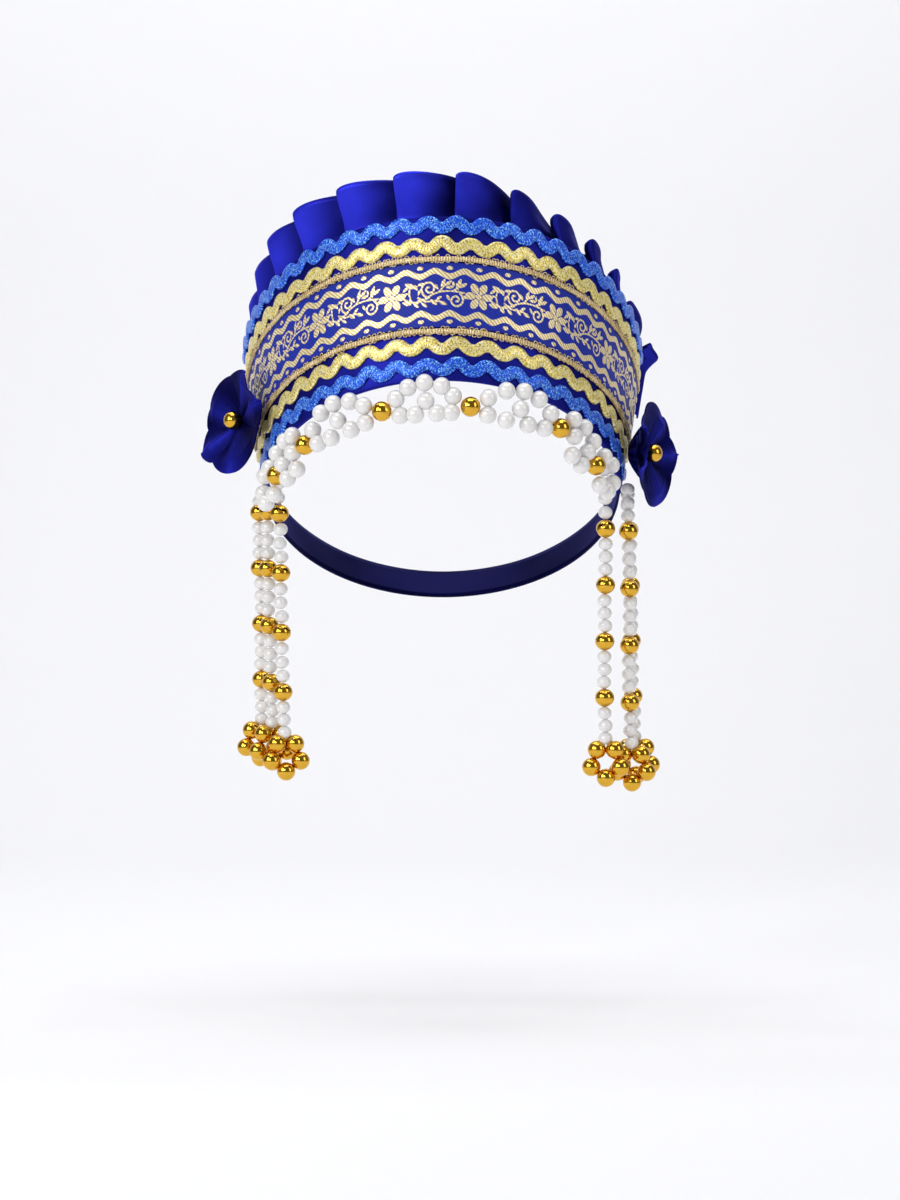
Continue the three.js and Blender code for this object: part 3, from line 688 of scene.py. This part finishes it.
# Back band
backBand = {
    "low": 3.0, "high": 21.0, "thick": 1.2, "steps": 160, "rows": 8, "gap": 0.4, "set": -0.6, "ripple": 0.25,
    "ripples": 40, "longer": 1.03,
}
half = rimRound / 2 - band["halfLength"] - backBand["gap"]
offsets = np.linspace(-half, half, backBand["steps"])
alongs = np.where(offsets < 0, rimRound / 2 + offsets, -rimRound / 2 + offsets)
ups = np.linspace(backBand["low"], backBand["high"], backBand["rows"])
sGrid, uGrid = np.meshgrid(alongs, ups, indexing="ij")
rippleAlong = np.sin(np.linspace(0, backBand["ripples"], backBand["steps"]))[:, None]
ripple = backBand["ripple"] * rippleAlong * np.sin(np.linspace(0, math.pi, backBand["rows"]))
bandPiece = meshPiece(
    "back_band_cloth", wallPoints(sGrid, uGrid, backBand["set"] + ripple),
    gridFaces(backBand["steps"], backBand["rows"]),
    uv=np.stack([np.broadcast_to(offsets[:, None], sGrid.shape), uGrid], -1))
stiffen(bandPiece, backBand["thick"])
dress(bandPiece, navy, "dark_satin", "back_band")
print("back band made")

# Satin flowers
flower = {
    "radius": 24.0, "rings": 56, "round": 300, "thick": 0.7, "petals": 5, "heart": 0.02, "puff": 7.0,
    "puffReach": 1.3, "puffCurve": 0.7, "notch": 0.16, "sway": 2.6, "roll": 2.2, "rollWide": 0.22,
    "uneven": 0.3, "bend": 0.1, "gather": 0.5, "gatherReach": 0.7, "gathers": 19, "swirl": 0.14,
    "weaveRound": 10, "bead": 8.2, "beadSet": 4.3,
}
# Painted light on the flowers: lighter on petal crests and raised folds, painted shade in the creases and
# towards the heart
flowerPaintedLight = {"low": 0.02, "crest": 0.52, "curve": 1.8, "fold": 0.06, "gather": 4, "heart": 0.25}
flowers = [
    {"name": "left_flower", "along": -114.0, "up": 24.0, "out": 2.0, "root": 8.0, "cup": 6.0, "lean": 0.36,
     "turn": 0.3},
    {"name": "right_flower", "along": 124.0, "up": 15.3, "out": 2.2, "root": 7.0, "cup": 6.0, "lean": -0.2,
     "turn": 1.0},
]


def seatFrame(row):  # the flower's seat on the wall and its three directions, turned by its lean
    along = np.array([row["along"]])
    rise, outward = (v[0] for v in wallFrame(along)[2:])
    seat = wallPoints(along, row["up"], row["out"])[0] / mm
    side = unit(np.cross(rise, outward))
    c, s = math.cos(row["lean"]), math.sin(row["lean"])
    return seat, side * c - outward * s, rise, outward * c + side * s


def flowerSheet(row):  # a round of cloth gathered into puffed petals with deep creases between them
    seat, side, rise, outward = seatFrame(row)
    share = np.linspace(flower["heart"], 1, flower["rings"])[:, None]
    turn = np.linspace(0, 2 * math.pi, flower["round"], endpoint=False)[None, :]
    uneven = flower["uneven"] * np.sin(2 * turn + row["turn"])
    bend = turn + uneven + flower["bend"] * share * np.sin(3 * turn)
    crest = np.abs(np.sin(flower["petals"] / 2 * bend))
    puff = flower["puff"] * share * (flower["puffReach"] - share) * crest ** flower["puffCurve"]
    sway = flower["sway"] * share ** 2 * np.sin(2 * bend + 3 * row["turn"])
    crumple = np.sin(flower["gathers"] * turn + 2 * np.sin(3 * turn))
    gather = flower["gather"] * share * np.clip(flower["gatherReach"] - share, 0, 1) * crumple
    hem = np.clip(share - 1 + flower["rollWide"], 0, 1) / flower["rollWide"]
    roll = flower["roll"] * hem * crest  # the hem of each petal rolls back
    height = row["root"] + row["cup"] * share ** 2 + puff + sway + gather - roll
    radius = share * flower["radius"] * (1 - flower["notch"] * share * (1 - crest) ** 2)
    swirl = turn + row["turn"] + flower["swirl"] * share * np.sin(flower["petals"] * bend)
    x, y = radius * np.cos(swirl), radius * np.sin(swirl)
    points = seat + x[..., None] * side + y[..., None] * rise + height[..., None] * outward
    weave = np.broadcast_arrays(share * flower["radius"], turn * flower["weaveRound"])
    uv = np.stack(weave, -1)
    # painted light and shade: crests and raised folds lit, creases and the heart in shade
    folds = flowerPaintedLight["fold"] * (sway + flowerPaintedLight["gather"] * gather)
    painted_light = np.clip(flowerPaintedLight["low"] + flowerPaintedLight["crest"] * crest ** flowerPaintedLight["curve"] + folds, 0, 1)
    painted_light = painted_light * np.clip(flowerPaintedLight["heart"] + share, 0, 1)
    return points * mm, uv, painted_light


def flowerPiece(row):
    points, uv, painted_light = flowerSheet(row)
    faces = gridFaces(flower["rings"], flower["round"], ring=True)
    piece = meshPiece(row["name"] + "_cloth", points, faces, uv=uv, values={"painted_light": painted_light})
    stiffen(piece, flower["thick"])
    dress(piece, royal, "satin", row["name"])
    measure = bmesh.new()
    measure.from_mesh(piece.data)
    area = sum(f.calc_area() for f in measure.faces)
    measure.free()
    seat, side, rise, outward = seatFrame(row)
    return seat + outward * (row["root"] + flower["beadSet"])


flowerRoot = {
    "rings": 14, "round": 144, "low": 0.4, "narrow": 3.2, "wide": 11.5, "curve": 0.8, "gathers": 17,
    "depth": 0.09, "painted_light": 0.12,
}


def flowerRootPiece(row):  # the bunched cloth that sews the flower to the band
    seat, side, rise, outward = seatFrame(row)
    share = np.linspace(0, 1, flowerRoot["rings"])[:, None]
    turn = np.linspace(0, 2 * math.pi, flowerRoot["round"], endpoint=False)[None, :]
    fold = np.sin(flowerRoot["gathers"] * turn + 2 * np.sin(3 * turn))
    flare = flowerRoot["wide"] - flowerRoot["narrow"]
    radius = flowerRoot["narrow"] + flare * share ** flowerRoot["curve"]
    radius = radius * (1 + flowerRoot["depth"] * fold)
    height = flowerRoot["low"] + (row["root"] - 2 * flowerRoot["low"]) * share
    x, y = radius * np.cos(turn), radius * np.sin(turn)
    points = seat + x[..., None] * side + y[..., None] * rise + height[..., None] * outward
    # painted shade in the inward gathers of the root, lighter on the outward ones
    painted_light = np.broadcast_to(np.clip(flowerRoot["painted_light"] * (1 + fold), 0, 1), x.shape)
    faces = gridFaces(flowerRoot["rings"], flowerRoot["round"], ring=True)
    piece = meshPiece(row["name"] + "_root", points * mm, faces, values={"painted_light": painted_light})
    capped(piece)
    dress(piece, royal, "satin")


flowerBeads = [flowerPiece(row) for row in flowers]
for row in flowers:
    flowerRootPiece(row)
for row, centre in zip(flowers, flowerBeads):
    bead = beadPiece(row["name"] + "_gold", [centre], flower["bead"])
    dress(bead, beadGold, "gold_bead", row["name"] + "_bead")
print("flowers made")

# Brow net: rows of pearls between gold beads, hung before the wall
net = {
    "pearl": 7.5, "gold": 8.5, "out": 4.1, "drift": 0.3, "depth": (-0.2, 0.8), "endReach": 8.7,
    "endTurns": (-120, -60, 0, 60, 120),
}
netGolds = [
    {"along": -93.0, "drop": 13.0}, {"along": -68.0, "drop": 10.6}, {"along": -26.0, "drop": 9.2},
    {"along": 12.0, "drop": 9.2}, {"along": 55.0, "drop": 8.2}, {"along": 81.5, "drop": 14.0},
]
# Half of a span's pearls: aside from its middle by a share of the half span less a distance, and down
shortSpan = [
    {"share": 1, "less": 5.3, "drop": -7.2}, {"share": 0, "less": 0, "drop": -8.6},
    {"share": 1, "less": 7.7, "drop": -0.8}, {"share": 0, "less": -3.9, "drop": 6.4},
]
longSpan = [
    {"share": 1, "less": 7.2, "drop": -3.9}, {"share": 0.354, "less": 0, "drop": -8.2},
    {"share": 0, "less": 0, "drop": -9.6}, {"share": 1, "less": 8, "drop": 3.0},
    {"share": 0.252, "less": 0, "drop": 3.6}, {"share": 0, "less": 0, "drop": -2.2},
]


def netPoint(along, drop, out=0.0):  # a spot before the wall, hung square to the rim
    edge = wallFrame(np.array([along]))[1][0]
    down = unit(np.array([0, 0, -1.0]) + edge * edge[2])
    return wallPoints(np.array([along]), 0, net["out"] + out)[0] / mm + down * drop


def sectionSpots(left, right):  # the pearls of one span, half of them mirrored
    half = (right["along"] - left["along"]) / 2
    spots = []
    for row in shortSpan if half < 2 * net["pearl"] else longSpan:
        side = half * row["share"] - row["less"]
        for turned in {side, -side}:
            share = 0.5 + turned / (2 * half)
            level = left["drop"] + (right["drop"] - left["drop"]) * share
            spots.append((left["along"] + half + turned, level + row["drop"]))
    return sorted(spots)


def looseSpot(along, drop):  # a pearl a little out of its place
    drift = net["drift"]
    along = along + random.uniform(-drift, drift)
    drop = drop + random.uniform(-drift, drift)
    return netPoint(along, drop, random.uniform(*net["depth"]))


for n, row in enumerate(netGolds):
    bead = beadPiece(f"net_gold_bead_{n + 1}", [netPoint(row["along"], row["drop"])], net["gold"])
    dress(bead, beadGold, "gold_bead", f"net_gold_{n + 1}")
for n, (left, right) in enumerate(zip(netGolds[:-1], netGolds[1:])):
    centres = [looseSpot(*spot) for spot in sectionSpots(left, right)]
    section = beadPiece(f"net_pearls_{n + 1}", centres, net["pearl"])
    dress(section, pearlGloss, "pearl", f"net_section_{n + 1}")
for name, row, side in (("left", netGolds[0], -1), ("right", netGolds[-1], 1)):
    middle = row["along"] + side * net["endReach"]
    centres = []
    for a in np.radians(net["endTurns"]):
        along = middle + side * net["pearl"] * math.cos(a)
        centres.append(looseSpot(along, row["drop"] + net["pearl"] * math.sin(a)))
    section = beadPiece(f"net_pearls_{name}", centres, net["pearl"])
    dress(section, pearlGloss, "pearl", f"net_end_{name}")
print("net made")

# Hanging strings
strand = {
    "pearl": 6.3, "flat": 0.91, "pitch": 5.55, "drift": 0.35, "gold": 8.0, "goldWide": 8.5, "golds": 4,
    "run": 3, "wave": 0.4, "ring": 5, "ringGold": 8.2, "ringTie": 2.0, "ringTurn": 0.2, "seat": 0.3,
}
# Where a string is sewn on: out from the wall by a gap and the string's radius, and up from the rim
stitch = {"radius": 2.61, "front": 0.3, "behind": 0.9, "bandFace": -0.65}
inside = {"out": -band["wall"] - stitch["behind"] - stitch["radius"], "up": 4.0}
below = {"out": -band["wall"] / 2, "up": 0.4}
outside = {"out": stitch["front"] + stitch["radius"], "up": 1.7}
onBand = {"out": stitch["bandFace"] + stitch["front"] + stitch["radius"], "up": 6.0}
strands = [
    {"name": "left_strand_1", "along": -147.0, "sewn": onBand, "gold": -5.0, "pitch": 25.0, "sway": 0.5},
    {"name": "left_strand_2", "along": -136.0, "sewn": below, "gold": -5.0, "pitch": 25.4, "sway": 2.0},
    {"name": "left_strand_3", "along": -125.3, "sewn": inside, "gold": -6.0, "pitch": 26.4, "sway": 3.6},
    {"name": "right_strand_1", "along": 113.0, "sewn": inside, "gold": -13.0, "pitch": 24.8, "sway": 0.6},
    {"name": "right_strand_2", "along": 125.5, "sewn": outside, "gold": -14.0, "pitch": 25.3, "sway": 2.2},
    {"name": "right_strand_3", "along": 138.5, "sewn": onBand, "gold": -13.0, "pitch": 24.8, "sway": 4.0},
]
ringRadius = strand["gold"] / 2 / math.sin(math.pi / strand["ring"])


def onString(row, top, z):  # the string leans a little as it hangs
    depth = (top[2] - z) / (top[2] - row["gold"] + strand["golds"] * row["pitch"])
    lean = row["sway"] * depth + strand["wave"] * math.sin(2 * math.pi * depth + row["along"])
    return np.array([top[0] + lean, top[1], z])


for row in strands:
    top = wallPoints(np.array([row["along"]]), row["sewn"]["up"], row["sewn"]["out"])[0] / mm
    lead = top[2] - row["gold"] - strand["gold"] / 2
    count = max(1, round(lead / strand["pitch"]))
    pearls = [top[2] - (k + 0.5) * lead / count for k in range(count)]
    golds = [row["gold"] - g * row["pitch"] for g in range(strand["golds"])]
    lastRun = strand["run"] * strand["pitch"]
    runs = [row["pitch"] - strand["gold"]] * (strand["golds"] - 1) + [lastRun]
    for level, run in zip(golds, runs):
        start = level - strand["gold"] / 2
        pearls += [start - (k + 0.5) * run / strand["run"] for k in range(strand["run"])]
    drift = strand["drift"]
    drifts = [np.array([random.uniform(-drift, drift), random.uniform(-drift, drift), 0]) for _ in pearls]
    pearlSpots = [onString(row, top, z) + d for z, d in zip(pearls, drifts)]
    pearlPiece = beadPiece(row["name"] + "_pearls", pearlSpots, strand["pearl"], strand["flat"])
    dress(pearlPiece, pearlGloss, "pearl", row["name"])
    goldSpots = [onString(row, top, z) for z in golds]
    goldFlat = strand["gold"] / strand["goldWide"]
    goldPiece = beadPiece(row["name"] + "_golds", goldSpots, strand["goldWide"], goldFlat)
    dress(goldPiece, beadGold, "gold_bead")
    foot = golds[-1] - strand["gold"] / 2 - lastRun
    middle = foot - strand["seat"] - ringRadius * math.cos(math.pi / strand["ring"]) - strand["ringTie"]
    facing = -math.copysign(strand["ringTurn"], row["along"])
    ring = []
    for k in range(strand["ring"]):
        a = math.radians((180 + 360 * k) / strand["ring"])
        wide = ringRadius * math.sin(a)
        spread = np.array([wide * math.cos(facing), wide * math.sin(facing), ringRadius * math.cos(a)])
        ring.append(onString(row, top, middle) + spread)
    ringPiece = beadPiece(row["name"] + "_loop_golds", ring, strand["ringGold"])
    dress(ringPiece, beadGold, "gold_bead", row["name"] + "_loop")
print("strings made")

# Studio
studio = {"floor": -0.228, "halfWidth": 3.0, "front": -2.2, "back": 1.3, "height": 2.4, "bend": 0.5}


def sweep():  # floor and backdrop in one curved sheet
    bend, corner = studio["bend"], studio["back"] - studio["bend"]
    profile = [(studio["front"], 0.0), (corner, 0.0)]
    for a in np.linspace(0, math.pi / 2, 12)[1:]:
        profile.append((corner + bend * math.sin(a), bend * (1 - math.cos(a))))
    profile.append((studio["back"], studio["height"]))
    sides = (-studio["halfWidth"], studio["halfWidth"])
    points = [[[x, y, studio["floor"] + z] for y, z in profile] for x in sides]
    piece = meshPiece("studio_sweep", points, gridFaces(2, len(profile)))
    white = newMaterial("studio_white", Base_Color=(0.9, 0.9, 0.92, 1), Roughness=0.9)[0]
    piece.data.materials.append(white)


sweep()
lamps = [
    {"name": "top", "at": (0.0, -0.25, 1.25), "aim": (0, 0.05, 0), "size": (1.0, 0.7), "power": 8},
    {"name": "left", "at": (-1.15, -0.95, 0.55), "aim": (0, 0, 0), "size": (0.6, 0.9), "power": 8},
    {"name": "front", "at": (-0.6, -1.45, 0.45), "aim": (0, 0, 0), "size": (0.45, 0.45), "power": 5.5},
    {"name": "right", "at": (1.2, -0.8, 0.5), "aim": (0, 0, 0), "size": (0.5, 0.9), "power": 4},
    {"name": "backdrop", "at": (0.0, 0.45, 1.6), "aim": (0, 1.3, 0.2), "size": (2.4, 0.5), "power": 15},
]
for lamp in lamps:
    data = bpy.data.lights.new(lamp["name"], "AREA")
    data.shape = "RECTANGLE"
    data.size, data.size_y = lamp["size"]
    data.energy = lamp["power"]
    light = bpy.data.objects.new(lamp["name"], data)
    light.location = lamp["at"]
    light.rotation_euler = (Vector(lamp["aim"]) - Vector(lamp["at"])).to_track_quat("-Z", "Y").to_euler()
    bpy.context.collection.objects.link(light)
world = bpy.data.worlds.new("studio_air")
world.use_nodes = True
world.node_tree.nodes["Background"].inputs["Color"].default_value = (0.95, 0.97, 1.0, 1)
world.node_tree.nodes["Background"].inputs["Strength"].default_value = 0.16
bpy.context.scene.world = world
bpy.context.scene.view_settings.view_transform = "Standard"

# Camera: the place and the focal length, in pixels of the frame's long side, are fitted to the photograph
view = {"at": (0.0033, -1.345, -0.0444), "focal": 3011, "longSide": 1200, "sensor": 36, "far": 20}
camera = bpy.data.cameras.new("camera")
camera.sensor_width = view["sensor"]
camera.lens = view["sensor"] * view["focal"] / view["longSide"]
camera.clip_end = view["far"]
cameraPiece = bpy.data.objects.new("camera", camera)
cameraPiece.location = view["at"]
cameraPiece.rotation_euler = (math.pi / 2, 0, 0)
bpy.context.collection.objects.link(cameraPiece)
bpy.context.scene.camera = cameraPiece

print("scene done")
